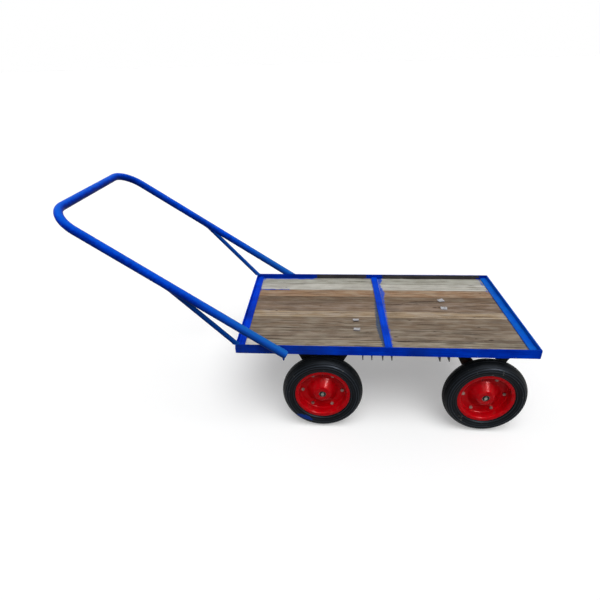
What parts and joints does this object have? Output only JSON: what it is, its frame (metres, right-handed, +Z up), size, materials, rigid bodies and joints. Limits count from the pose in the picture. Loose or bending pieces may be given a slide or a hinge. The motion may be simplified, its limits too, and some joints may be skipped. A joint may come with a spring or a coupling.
{
  "type": "hand cart",
  "caption": "Platform hand cart: reused planks in an angle steel frame, a bent tube push handle with stays, and pneumatic wheels on bolted split rims.",
  "frame": {"origin": "on the floor under the middle of the whole cart's box", "axes": "+X from the handle end to the front, +Y to the pusher's left, +Z up"},
  "size_m": [1.8668, 0.7694, 0.9658],
  "materials": {
    "blue_paint": "gloss brush-painted enamel with worn edges",
    "black_paint": "dark painted steel with rust",
    "red_paint": "gloss enamel on pressed sheet",
    "wood_pale": "weathered pale board",
    "wood_orange": "weathered orange-brown board",
    "wood_dark": "weathered dark board",
    "wood_grey": "weathered grey-brown board",
    "wood_tan": "weathered tan board",
    "zinc_sheet": "dull galvanised sheet",
    "zinc_bolts": "zinc plated",
    "axle_steel": "turned steel",
    "bearing_steel": "ground bearing steel",
    "spring_steel": "blackened spring steel",
    "tyre_rubber": "black rubber with dust",
    "tube_rubber": "black butyl"
  },
  "bodies": {
    "frame": {"side_rail_right": "blue_paint", "side_rail_left": "blue_paint", "end_rail_rear": "blue_paint", "end_rail_front": "blue_paint", "strap_rear": "blue_paint", "strap_middle": "blue_paint", "strap_front": "blue_paint", "handle_loop": "blue_paint", "handle_stay_right": "blue_paint", "handle_stay_left": "blue_paint", "plank_1": "wood_pale", "plank_2": "wood_pale", "plank_3": "wood_orange", "plank_4": "wood_dark", "plank_5": "wood_grey", "plank_6": "wood_tan", "plank_7": "wood_grey", "plank_8": "wood_dark", "plank_9": "wood_tan", "mending_patches": "zinc_sheet", "axle_bearer_rear_1": "black_paint", "axle_bearer_rear_2": "black_paint", "axle_bearer_front_1": "black_paint", "axle_bearer_front_2": "black_paint", "cross_bearer_rear": "black_paint", "cross_bearer_middle": "black_paint", "cross_bearer_front": "black_paint", "axle_bracket_rear_right": "black_paint", "axle_bracket_rear_left": "black_paint", "axle_bracket_front_right": "black_paint", "axle_bracket_front_left": "black_paint", "axle_rear": "axle_steel", "axle_front": "axle_steel", "bearing_inner_rings": "bearing_steel", "axle_circlips": "spring_steel"},
    "rear_right_wheel": {"rear_right_tyre": "tyre_rubber", "rear_right_air_tube": "tube_rubber", "rear_right_rim_outer": "red_paint", "rear_right_rim_inner": "red_paint", "rear_right_rim_bolts": "zinc_bolts", "rear_right_bearings": "bearing_steel"},
    "rear_left_wheel": {"rear_left_tyre": "tyre_rubber", "rear_left_air_tube": "tube_rubber", "rear_left_rim_outer": "red_paint", "rear_left_rim_inner": "red_paint", "rear_left_rim_bolts": "zinc_bolts", "rear_left_bearings": "bearing_steel"},
    "front_right_wheel": {"front_right_tyre": "tyre_rubber", "front_right_air_tube": "tube_rubber", "front_right_rim_outer": "red_paint", "front_right_rim_inner": "red_paint", "front_right_rim_bolts": "zinc_bolts", "front_right_bearings": "bearing_steel"},
    "front_left_wheel": {"front_left_tyre": "tyre_rubber", "front_left_air_tube": "tube_rubber", "front_left_rim_outer": "red_paint", "front_left_rim_inner": "red_paint", "front_left_rim_bolts": "zinc_bolts", "front_left_bearings": "bearing_steel"}
  },
  "joints": [
    {"name": "rear_right_wheel_roll", "type": "hinge", "parent": "frame", "child": "rear_right_wheel", "pos_m": [0.08843, -0.332, 0.169], "axis": [0, 1, 0], "continuous": true},
    {"name": "rear_left_wheel_roll", "type": "hinge", "parent": "frame", "child": "rear_left_wheel", "pos_m": [0.08843, 0.332, 0.169], "axis": [0, 1, 0], "continuous": true},
    {"name": "front_right_wheel_roll", "type": "hinge", "parent": "frame", "child": "front_right_wheel", "pos_m": [0.75543, -0.332, 0.169], "axis": [0, 1, 0], "continuous": true},
    {"name": "front_left_wheel_roll", "type": "hinge", "parent": "frame", "child": "front_left_wheel", "pos_m": [0.75543, 0.332, 0.169], "axis": [0, 1, 0], "continuous": true}
  ]
}
